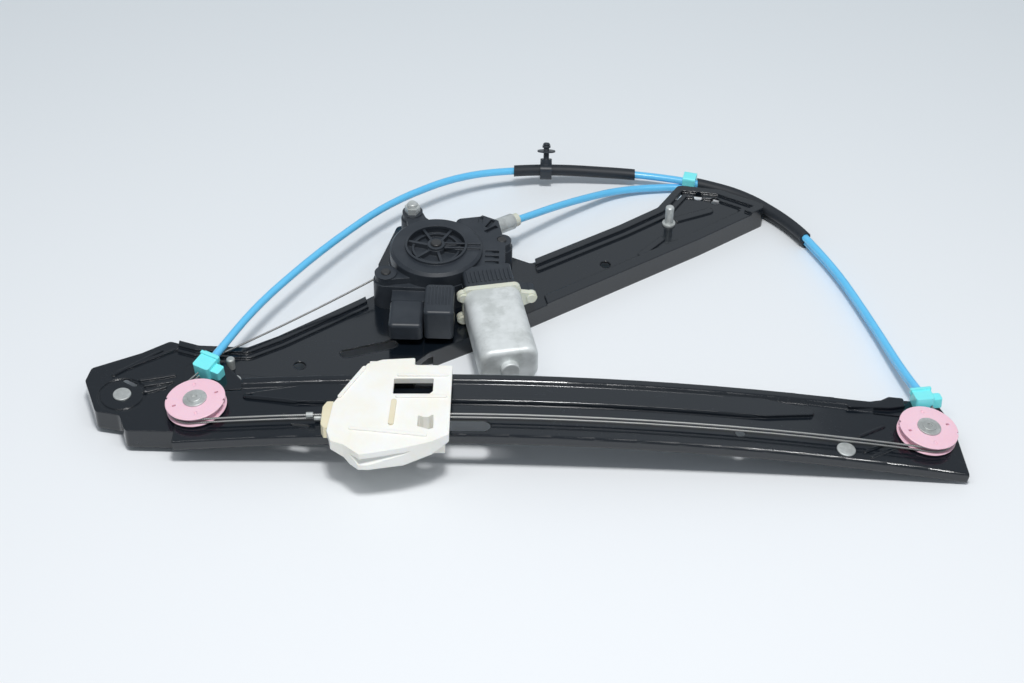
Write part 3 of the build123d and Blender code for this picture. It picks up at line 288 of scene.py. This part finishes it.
@dataclass(frozen=True)
class BlackCoat:
    """Electrocoated steel: near black, glossy, lightly pebbled, dusty and scuffed.

    A band is the pair of noise values between which a mark appears; relief and edge
    are in metres.
    """

    name: str = "black_coat"
    colour: Colour = (0.0050, 0.0080, 0.0125)
    dust: Colour = (0.026, 0.032, 0.042)
    gloss: float = 0.20
    edge: float = 0.0016
    relief: float = 0.00005
    waves: Noise = Noise(14, 4, 0.6)
    specks: Noise = Noise(420, 4, 0.7)
    speck_band: Band = (0.52, 0.84)
    patch_band: Band = (0.35, 0.75)
    dust_share: float = 0.40
    rubs: Noise = Noise(90, 5, 0.65, (0.25, 1, 1))
    rub_band: Band = (0.62, 0.76)
    rub_share: float = 0.22
    pebbles: Noise = Noise(900, 2, 0.4)
    scratches: Noise = Noise(300, 2, 0.5, (0.05, 1, 1))
    scratch_band: Band = (0.62, 0.72)
    coat: float = 0.5
    coat_rough: float = 0.09

    def build(self) -> bpy.types.Material:
        """Make the material."""
        shader = Shader(self.name)
        wave = shader.noise(self.waves)
        speck = shader.noise(self.specks).step(*self.speck_band)
        dusty = speck * wave.step(*self.patch_band)
        rub = shader.noise(self.rubs).step(*self.rub_band)
        mask = dusty * self.dust_share + rub * self.rub_share
        pebble = shader.noise(self.pebbles)
        scratch = shader.noise(self.scratches).step(*self.scratch_band)
        height = pebble * 0.4 + scratch * 0.3 + wave * 4.0
        return shader.finish(
            {
                "Base Color": shader.blend(mask, self.colour, self.dust),
                "Roughness": wave * 0.10 + dusty * 0.28 + rub * 0.10 + (self.gloss - 0.05),
                "Normal": shader.bump(height, self.relief, 0.5, self.edge),
                "Specular IOR Level": 0.5,
                "Coat Weight": self.coat,
                "Coat Roughness": self.coat_rough,
            }
        )


@dataclass(frozen=True)
class Moulding:
    """Moulded plastic: one colour with slight mottling, fine grain and flow marks.

    The grain is in features per metre; a band is the pair of noise values between
    which a mark appears; grain_height, edge and subsurface_reach are in metres.
    """

    name: str
    colour: Colour
    shade: Colour
    rough: float
    grain: float
    grain_height: float
    mottle: float
    subsurface: float = 0.0
    coat: float = 0.0
    clouds: Noise = Noise(35, 4, 0.55)
    cloud_band: Band = (0.35, 0.7)
    flows: Noise = Noise(160, 3, 0.5, (1, 0.3, 1))
    flow_band: Band = (0.5, 0.8)
    waves: Noise = Noise(60, 2, 0.5)
    edge: float = 0.0006
    subsurface_reach: Triple = (0.004, 0.003, 0.002)
    coat_rough: float = 0.15

    def build(self) -> bpy.types.Material:
        """Make the material."""
        shader = Shader(self.name)
        cloud = shader.noise(self.clouds)
        flow = shader.noise(self.flows)
        mixed = cloud.step(*self.cloud_band) * 0.7 + flow.step(*self.flow_band) * 0.3
        grain = shader.noise(Noise(self.grain, 2, 0.5))
        height = grain + shader.noise(self.waves) * 2.0
        return shader.finish(
            {
                "Base Color": shader.blend(mixed * self.mottle, self.colour, self.shade),
                "Roughness": cloud * 0.16 + flow * 0.06 + (self.rough - 0.10),
                "Normal": shader.bump(height, self.grain_height, 0.6, self.edge),
                "Subsurface Weight": self.subsurface,
                "Subsurface Radius": self.subsurface_reach,
                "Coat Weight": self.coat,
                "Coat Roughness": self.coat_rough,
            }
        )


@dataclass(frozen=True)
class Galvanised:
    """Plated metal: pale spangled patches, dull blotches, stains and fine drawing marks.

    The spangle is in cells per metre; a band is the pair of noise values between
    which a mark appears; relief and edge are in metres.
    """

    name: str
    bright: Colour
    dull: Colour
    spangle: float
    rough: float
    metallic: float
    drawn: Drawn = Drawn.NONE
    blotches: Noise = Noise(55, 5, 0.62)
    blotch_band: Band = (0.40, 0.62)
    stain: Colour = (0.30, 0.29, 0.24)
    stains: Noise = Noise(120, 4, 0.7)
    stain_band: Band = (0.60, 0.80)
    stain_share: float = 0.35
    relief: float = 0.00004
    edge: float = 0.0003

    def build(self) -> bpy.types.Material:
        """Make the material."""
        shader = Shader(self.name)
        cell = shader.cells(self.spangle)
        blotch = shader.noise(self.blotches)
        marks = shader.noise(Noise(700, 3, 0.6, self.drawn.value))
        mask = blotch.step(*self.blotch_band) * 0.7 + cell * 0.35
        plated = shader.blend(mask, self.bright, self.dull)
        stained = shader.noise(self.stains).step(*self.stain_band)
        height = marks * 0.6 + cell * 0.5
        return shader.finish(
            {
                "Base Color": shader.blend(stained * self.stain_share, plated, self.stain),
                "Roughness": blotch * 0.22 + marks * 0.14 + (self.rough - 0.16),
                "Metallic": self.metallic,
                "Normal": shader.bump(height, self.relief, 0.6, self.edge),
            }
        )


@dataclass(frozen=True)
class StrandedWire:
    """Steel cable: slanting strands, with painted shade darkening the grooves between them."""

    name: str = "stranded_wire"
    colour: Colour = (0.42, 0.42, 0.41)
    # Near-black colour painted into the grooves between strands as shade.
    groove_shade: Colour = (0.07, 0.07, 0.07)
    strands: float = 620.0
    slant_y: float = 0.9
    slant_z: float = 0.7
    relief: float = 0.00012
    metallic: float = 0.8
    rough: float = 0.28
    wear: Noise = Noise(500, 2, 0.5)

    def build(self) -> bpy.types.Material:
        """Make the material: slanting bands, which rise to a crest and fall once a strand."""
        shader = Shader(self.name)
        x, y, z = shader.axes()
        phase = (x + y * self.slant_y + z * self.slant_z) * self.strands
        crest = phase.math("PINGPONG", 0.5) * 2.0
        return shader.finish(
            {
                # The trough half of each strand takes the groove colour: painted shade in the
                # grooves between strands.
                "Base Color": shader.blend(1 - crest.step(0.0, 0.5), self.colour, self.groove_shade),
                "Roughness": shader.noise(self.wear) * 0.2 + self.rough,
                "Metallic": self.metallic,
                "Normal": shader.bump(crest, self.relief, 0.8),
            }
        )


@dataclass(frozen=True)
class Backdrop:
    """The pale table top, darker and a little cooler far away as painted shade of the light
    falling off, and with the faintest unevenness.

    The colour changes between two places along Y, in metres.
    """

    name: str = "table_top"
    near: Colour = (0.86, 0.88, 0.905)
    # The far colour is darker: painted shade of the light falling off towards the back.
    far: Colour = (0.80, 0.845, 0.875)
    change: Band = (-0.40, 0.9)
    clouds: Noise = Noise(6, 3, 0.5)
    rough: float = 0.85
    specular: float = 0.1

    def build(self) -> bpy.types.Material:
        """Make the material."""
        shader = Shader(self.name)
        _, away, _ = shader.axes()
        # Blend towards the darker far colour with distance: painted shade of the light's falloff.
        painted_falloff_shade = (away + shader.noise(self.clouds) * 0.12).step(*self.change)
        return shader.finish(
            {
                "Base Color": shader.blend(painted_falloff_shade, self.near, self.far),
                "Roughness": self.rough,
                "Specular IOR Level": self.specular,
            }
        )


PALETTE = {
    "black_steel": BlackCoat(),
    "black_ridge": BlackCoat("black_coat_ridge", gloss=0.17, edge=0.0, relief=0.00002),
    "dark_steel": BlackCoat(
        "black_phosphate", (0.020, 0.020, 0.021), (0.060, 0.058, 0.055), gloss=0.36, edge=0.0003
    ),
    "black_plastic": Moulding(
        "black_moulding",
        (0.023, 0.029, 0.038),
        (0.048, 0.056, 0.067),
        rough=0.42,
        grain=1400,
        grain_height=0.00004,
        mottle=0.7,
    ),
    "pink_plastic": Moulding(
        "pink_moulding",
        (0.95, 0.64, 0.74),
        (0.92, 0.55, 0.66),
        rough=0.34,
        grain=1200,
        grain_height=0.00002,
        mottle=0.6,
        subsurface=0.1,
        coat=0.2,
    ),
    "cyan_plastic": Moulding(
        "cyan_moulding",
        (0.24, 0.93, 0.97),
        (0.19, 0.86, 0.92),
        rough=0.36,
        grain=1200,
        grain_height=0.00002,
        mottle=0.6,
        subsurface=0.1,
        coat=0.2,
    ),
    "blue_conduit": Moulding(
        "blue_tube",
        (0.15, 0.60, 0.96),
        (0.11, 0.53, 0.92),
        rough=0.30,
        grain=900,
        grain_height=0.00001,
        mottle=0.5,
        subsurface=0.05,
        coat=0.3,
    ),
    "white_plastic": Moulding(
        "white_moulding",
        (0.93, 0.93, 0.90),
        (0.90, 0.85, 0.70),
        rough=0.42,
        grain=1300,
        grain_height=0.00003,
        mottle=0.6,
        subsurface=0.2,
    ),
    "natural_nylon": Moulding(
        "natural_nylon",
        (0.82, 0.76, 0.58),
        (0.74, 0.66, 0.44),
        rough=0.40,
        grain=1200,
        grain_height=0.00003,
        mottle=0.8,
        subsurface=0.25,
    ),
    "flange_plastic": Moulding(
        "cream_moulding",
        (0.72, 0.74, 0.64),
        (0.62, 0.62, 0.50),
        rough=0.42,
        grain=1200,
        grain_height=0.00003,
        mottle=0.7,
        subsurface=0.2,
    ),
    "gear_plastic": Moulding(
        "gear_nylon",
        (0.70, 0.67, 0.56),
        (0.60, 0.56, 0.44),
        rough=0.40,
        grain=1200,
        grain_height=0.00003,
        mottle=0.6,
        subsurface=0.2,
    ),
    "sleeve_rubber": Moulding(
        "sleeve_rubber",
        (0.014, 0.018, 0.024),
        (0.030, 0.035, 0.042),
        rough=0.55,
        grain=900,
        grain_height=0.00005,
        mottle=0.7,
    ),
    "magnet": Moulding(
        "magnet_ferrite",
        (0.03, 0.03, 0.032),
        (0.05, 0.05, 0.05),
        rough=0.6,
        grain=700,
        grain_height=0.00005,
        mottle=0.8,
    ),
    "zinc_steel": Galvanised(
        "zinc_hardware",
        (0.70, 0.73, 0.72),
        (0.46, 0.48, 0.47),
        spangle=500,
        rough=0.42,
        metallic=0.5,
    ),
    "motor_steel": Galvanised(
        "motor_shell",
        (0.84, 0.87, 0.87),
        (0.60, 0.63, 0.62),
        spangle=190,
        rough=0.50,
        metallic=0.3,
        drawn=Drawn.ALONG_Y,
    ),
    "copper": Galvanised(
        "copper_winding",
        (0.60, 0.28, 0.14),
        (0.40, 0.18, 0.09),
        spangle=800,
        rough=0.35,
        metallic=0.9,
        drawn=Drawn.ALONG_X,
    ),
    "cable_steel": StrandedWire(),
}


@dataclass
class Workshop:
    """Builds each finish once and hands it out by material slot."""

    made: dict[str, bpy.types.Material] = field(default_factory=dict)

    def finish(self, slot: str) -> bpy.types.Material:
        """Material for a slot of the record."""
        if slot not in self.made:
            self.made[slot] = PALETTE[slot].build()
        return self.made[slot]

    def dress(self, node: str, slot: str) -> None:
        """Give a CAD node its finish.

        Args:
            node: The CAD node's name.
            slot: The record's material slot.
        """
        mesh = frame["nodes"][node].data
        mesh.materials.clear()
        mesh.materials.append(self.finish(slot))

    def piece(
        self, name: str, points: np.ndarray, wrap: bool, slot: str, finish: str | None = None
    ) -> bpy.types.Object:
        """Turn a grid of points into a smooth mesh object.

        Each point (i, j) is joined to (i + 1, j + 1), and the second index closes
        on itself where wrap is true.

        Args:
            name: Name of the piece.
            points: Array of shape (rows, columns, 3) in metres.
            wrap: Whether the columns close on themselves.
            slot: Material slot of the record that the piece belongs to.
            finish: Finish in the palette, or None for the slot's own.

        Returns:
            The new object.
        """
        rows, columns, _ = points.shape
        i = np.arange(rows - 1)[:, None]
        j = np.arange(columns if wrap else columns - 1)[None, :]
        right = (j + 1) % columns
        near, far = i * columns, (i + 1) * columns
        quads = np.stack([near + j, near + right, far + right, far + j], axis=-1)
        mesh = bpy.data.meshes.new(name)
        mesh.from_pydata(points.reshape(-1, 3), [], quads.reshape(-1, 4).tolist())
        mesh.polygons.foreach_set("use_smooth", np.ones(len(mesh.polygons), bool))
        mesh.materials.append(self.finish(finish or slot))
        made = bpy.data.objects.new(name, mesh)
        bpy.context.scene.collection.objects.link(made)
        return made


@dataclass
class Camera:
    """The photograph's viewpoint: angles in degrees, lengths in metres, focal length in pixels."""

    elevation: float = 41.24
    azimuth: float = 0.478
    roll: float = 1.092
    distance: float = 1.431099
    focal_px: float = 1987.55
    photo_width_px: float = 1024.0
    sensor_mm: float = 36.0
    clip_end: float = 20.0
    target: Triple = (-0.007905, -0.014293, 0.0)

    def build(self) -> None:
        """Make the camera: it looks at the target from above the front, turned by the roll."""
        rise = math.radians(self.elevation)
        turn = math.radians(self.azimuth)
        tilt = math.radians(self.roll)
        back = Vector(
            (math.sin(turn) * math.cos(rise), -math.cos(turn) * math.cos(rise), math.sin(rise))
        )
        level = Vector((math.cos(turn), math.sin(turn), 0.0))
        upright = back.cross(level)
        right = level * math.cos(tilt) + upright * math.sin(tilt)
        up = upright * math.cos(tilt) - level * math.sin(tilt)
        data = bpy.data.cameras.new("photo_camera")
        data.sensor_width = self.sensor_mm
        data.lens = self.focal_px * self.sensor_mm / self.photo_width_px
        data.clip_end = self.clip_end
        camera = bpy.data.objects.new("photo_camera", data)
        turned = Matrix((right, up, back)).transposed().to_4x4()
        turned.translation = Vector(self.target) + back * self.distance
        camera.matrix_world = turned
        bpy.context.scene.collection.objects.link(camera)
        bpy.context.scene.camera = camera


@dataclass(frozen=True)
class Lamp:
    """Rectangular lamp that points at the middle of the table: metres and watts."""

    name: str
    place: Triple
    size: tuple[float, float]
    power: float
    colour: Colour

    def build(self) -> None:
        """Hang the lamp."""
        data = bpy.data.lights.new(self.name, "AREA")
        data.shape = "RECTANGLE"
        data.size, data.size_y = self.size
        data.energy = self.power
        data.color = self.colour
        lamp = bpy.data.objects.new(self.name, data)
        lamp.location = self.place
        lamp.rotation_euler = (-Vector(self.place)).to_track_quat("-Z", "Y").to_euler()
        bpy.context.scene.collection.objects.link(lamp)


@dataclass
class Studio:
    """Pale table and surround, a crisp lamp and a long strip in front, a weak lamp behind."""

    reach: float = 3.0
    lamps: tuple[Lamp, ...] = (
        Lamp("key_light", (0.05, -0.62, 1.70), (0.24, 0.24), 16.5, (1.0, 0.995, 0.985)),
        Lamp("strip_light", (0.0, -0.62, 1.62), (1.8, 0.14), 7.5, (1.0, 0.995, 0.99)),
        Lamp("back_fill", (0.2, 1.5, 1.1), (1.2, 1.2), 1.2, (0.90, 0.96, 1.0)),
    )
    surround: Colour = (0.84, 0.92, 1.0)
    surround_strength: float = 0.34

    def build(self) -> None:
        """Make the table, the lamps and the world."""
        mesh = bpy.data.meshes.new("table_top")
        corners = [
            (-self.reach, -self.reach, 0),
            (self.reach, -self.reach, 0),
            (self.reach, self.reach, 0),
            (-self.reach, self.reach, 0),
        ]
        mesh.from_pydata(corners, [], [(0, 1, 2, 3)])
        mesh.materials.append(Backdrop().build())
        table = bpy.data.objects.new("table_top", mesh)
        bpy.context.scene.collection.objects.link(table)
        for lamp in self.lamps:
            lamp.build()
        world = bpy.data.worlds.new("surround")
        world.use_nodes = True
        background = world.node_tree.nodes["Background"]
        background.inputs["Color"].default_value = (*self.surround, 1.0)
        background.inputs["Strength"].default_value = self.surround_strength
        bpy.context.scene.world = world
        bpy.context.scene.view_settings.view_transform = "Standard"


@dataclass(frozen=True)
class Thread:
    """Rolled thread that shows as a helical ridge on a bolt's shank, in metres."""

    name: str
    node: str
    radius: float
    length: float
    pitch: float = 0.0011
    ridge: float = 0.00034
    sunk_share: float = 0.25
    end_share: float = 0.9
    sides: int = 48
    rows_per_turn: int = 10
    tip: float = 0.0007

    def build(self, workshop: Workshop) -> bpy.types.Object:
        """Wind the ridge round the top of the node.

        At the height z and the angle a the radius is r - s * d + d * t, with d the
        ridge and s the share of it that is sunk. t rises from 0 to 1 and falls again
        once per turn: t = 1 - |2 f - 1|, with f the fraction left of
        z / pitch - a / (2 pi). Both ends sink into the shank.

        Args:
            workshop: Source of finishes.

        Returns:
            The ridge.
        """
        low, high = (Vector(corner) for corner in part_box(self.node))
        middle = (low + high) / 2
        rows = int(self.length / self.pitch * self.rows_per_turn)
        height = np.linspace(high.z - self.tip - self.length, high.z - self.tip, rows)[:, None]
        angle = np.linspace(0, 2 * math.pi, self.sides, endpoint=False)[None, :]
        part = (height / self.pitch - angle / (2 * math.pi)) % 1.0
        rise = 1.0 - np.abs(2.0 * part - 1.0)
        reach = self.radius - self.ridge * self.sunk_share + self.ridge * rise
        reach[[0, -1]] = self.radius * self.end_share
        x = middle.x + reach * np.cos(angle)
        y = middle.y + reach * np.sin(angle)
        grid = np.stack([x, y, height * np.ones_like(reach)], axis=-1)
        piece = workshop.piece(self.name, grid, True, SLOTS[self.node])
        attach(piece, "frame")
        return piece


@dataclass(frozen=True)
class Sheets:
    """Heights of the two pressed sheets, in the source's millimetres.

    The shift goes from the source's middle to the frame's.
    """

    shift: tuple[float, float] = (-0.4, 11.7)
    bow_radius: float = 1900.0
    bow_x: float = -8.0
    bow_z: float = -1865.0
    wing_top: float = 20.3
    arm_top: float = 15.0
    wing_bend: float = -228.0
    arm_bend: float = -120.0

    def height(self, bed: Bed, x: np.ndarray) -> np.ndarray:
        """Upper face of a sheet.

        The rail is an arc, z = c + sqrt(r^2 - (x - a)^2); the plate falls in a
        straight ramp from the wing to the arm.

        Args:
            bed: The sheet.
            x: Places along the rail.

        Returns:
            Heights at those places.
        """
        if bed is Bed.RAIL:
            return self.bow_z + np.sqrt(self.bow_radius**2 - (x - self.bow_x) ** 2)
        return np.interp(x, (self.wing_bend, self.arm_bend), (self.wing_top, self.arm_top))


@dataclass(frozen=True)
class Ridge:
    """Half-round pressed ridge between two places on a sheet, in millimetres."""

    name: str
    bed: Bed
    start: tuple[float, float]
    end: tuple[float, float]
    half_width: float = 1.5
    rise: float = 1.45
    sink: float = 0.08
    bluntness: int = 18
    rows: int = 90
    columns: int = 17

    def build(self, workshop: Workshop, sheets: Sheets) -> bpy.types.Object:
        """Raise the ridge.

        With u from 0 to 1 along it and v from -1 to 1 across it, the ends round
        off with e = sqrt(1 - |2 u - 1|^bluntness); the point stands half_width * v * e
        to the side and rise * e * sqrt(1 - v^2) - sink above the sheet.

        Args:
            workshop: Source of finishes.
            sheets: Heights of the sheets.

        Returns:
            The ridge.
        """
        u = np.linspace(0, 1, self.rows)[:, None]
        v = np.linspace(1, -1, self.columns)[None, :]
        taper = np.sqrt(np.clip(1 - np.abs(2 * u - 1) ** self.bluntness, 0, 1))
        along = np.subtract(self.end, self.start)
        side = np.array([-along[1], along[0]]) / np.linalg.norm(along)
        x = self.start[0] + along[0] * u + side[0] * self.half_width * v * taper
        y = self.start[1] + along[1] * u + side[1] * self.half_width * v * taper
        z = sheets.height(self.bed, x) + self.rise * taper * np.sqrt(1 - v**2) - self.sink
        grid = np.stack([x + sheets.shift[0], y + sheets.shift[1], z], axis=-1) * MM
        piece = workshop.piece(self.name, grid, False, "black_steel", "black_ridge")
        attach(piece, "frame")
        return piece


@dataclass
class Assembly:
    """Nodes of the part that are finished together, and the pieces added to them."""

    nodes: tuple[str, ...] = ()

    def pieces(self, workshop: Workshop) -> list[bpy.types.Object]:
        """Pieces that the scene adds: none, unless the assembly has its own."""
        return []

    def build(self, workshop: Workshop) -> list[bpy.types.Object]:
        """Finish every node and add the pieces.

        Args:
            workshop: Source of finishes.

        Returns:
            The nodes' objects and the added pieces.
        """
        for node in self.nodes:
            workshop.dress(node, SLOTS[node])
        return [frame["nodes"][node] for node in self.nodes] + self.pieces(workshop)


@dataclass
class Rail(Assembly):
    """Guide rail with its rivets and pins, its three short ribs and the edges of its bead."""

    nodes: tuple[str, ...] = (
        "guide_rail",
        "end_rivet",
        "foot_rivet_1",
        "foot_rivet_2",
        "locating_pin",
        "rail_stud",
    )
    ribs: tuple[Ridge, ...] = (
        Ridge("rail_rib_1", Bed.RAIL, (227.0, -137.7), (246.0, -124.3)),
        Ridge("rail_rib_2", Bed.RAIL, (229.3, -152.3), (251.7, -136.7)),
        Ridge("rail_rib_3", Bed.RAIL, (233.6, -156.3), (254.4, -141.7)),
    )
    bead: tuple[Ridge, ...] = (
        Ridge("rail_bead_rear", Bed.RAIL, (-148.0, -112.9), (163.0, -112.9), 1.3, 2.75, rows=300),
        Ridge("rail_bead_front", Bed.RAIL, (-148.0, -128.3), (163.0, -128.3), 1.6, 2.75, rows=300),
        Ridge("rail_bead_left_rear", Bed.RAIL, (-188.0, -119.3), (-149.0, -112.9), 1.3, 2.75),
        Ridge("rail_bead_left_front", Bed.RAIL, (-188.0, -120.3), (-149.0, -128.2), 1.6, 2.75),
    )

    def pieces(self, workshop: Workshop) -> list[bpy.types.Object]:
        """The ribs and the bead's edges."""
        return [ridge.build(workshop, Sheets()) for ridge in self.ribs + self.bead]


@dataclass
class Plate(Assembly):
    """Mounting plate with its rivet, the arm's threaded stud and the beads of the wing."""

    nodes: tuple[str, ...] = ("mounting_plate", "wing_rivet", "arm_stud")
    stud_thread: Thread = Thread("arm_stud_thread", "arm_stud", 0.0030, 0.0125)
    beads: tuple[Ridge, ...] = (
        Ridge("wing_ridge_1", Bed.PLATE, (-280.5, -94.6), (-251.5, -68.4)),
        Ridge("wing_ridge_2", Bed.PLATE, (-280.0, -92.5), (-240.0, -65.5), 1.3, 1.4),
        Ridge("wing_ridge_3", Bed.PLATE, (-262.0, -99.7), (-238.0, -93.3)),
        Ridge("wing_ridge_4", Bed.PLATE, (-258.2, -105.1), (-238.8, -99.9)),
        Ridge("wing_ridge_5", Bed.PLATE, (-257.5, -111.4), (-242.5, -105.6)),
    )

    def pieces(self, workshop: Workshop) -> list[bpy.types.Object]:
        """The stud's thread and the wing's beads."""
        thread = self.stud_thread.build(workshop)
        return [thread] + [ridge.build(workshop, Sheets()) for ridge in self.beads]


@dataclass
class Pulleys(Assembly):
    """Cable pulleys at both ends of the rail, with their axles and washers."""

    nodes: tuple[str, ...] = (
        "left_pulley",
        "right_pulley",
        "left_axle",
        "right_axle",
        "left_washer",
        "right_washer",
        "axle_spacer",
    )


@dataclass
class Cables(Assembly):
    """Steel cables, conduits, end fittings, sleeves and the clip on them."""

    nodes: tuple[str, ...] = (
        "wire_upper",
        "wire_lower",
        "wire_bare",
        "conduit_left",
        "conduit_drum",
        "left_conduit_end",
        "right_conduit_end",
        "conduit_socket",
        "socket_cap",
        "band",
        "sleeve_first",
        "sleeve_second",
        "panel_clip",
    )


@dataclass
class Carrier(Assembly):
    """Glass carrier with its insert, its nose and the sockets of the cable ends."""

    nodes: tuple[str, ...] = (
        "glass_carrier",
        "carrier_insert",
        "cable_nose",
        "upper_socket",
        "lower_socket",
    )


@dataclass
class Drive(Assembly):
    """Motor, gear housing, drum, module box and the bolts that hold them to the plate."""

    nodes: tuple[str, ...] = (
        "gear_housing",
        "drum_cover",
        "cable_drum",
        "drum_pin",
        "worm_wheel",
        "motor_flange",
        "motor_can",
        "armature",
        "magnet_left",
        "magnet_right",
        "module_box",
        "connector",
        "stud_left",
        "stud_right",
        "stud_back",
        "nut_left",
        "nut_right",
        "nut_back",
        "nut_back_upper",
    )
    bolt_thread: Thread = Thread("back_bolt_thread", "stud_back", 0.0035, 0.0065)

    def pieces(self, workshop: Workshop) -> list[bpy.types.Object]:
        """The back bolt's thread."""
        return [self.bolt_thread.build(workshop)]


def main() -> None:
    """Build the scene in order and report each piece."""
    logging.basicConfig(level=logging.INFO, format="%(name)s %(message)s")
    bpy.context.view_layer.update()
    Camera().build()
    Studio().build()
    workshop = Workshop()
    for assembly in (Rail(), Plate(), Pulleys(), Cables(), Carrier(), Drive()):
        title = type(assembly).__name__
        for piece in assembly.build(workshop):
            LOG.info("%s: %s, %d faces", title, piece.name, len(piece.data.polygons))


if __name__ == "__main__":
    main()
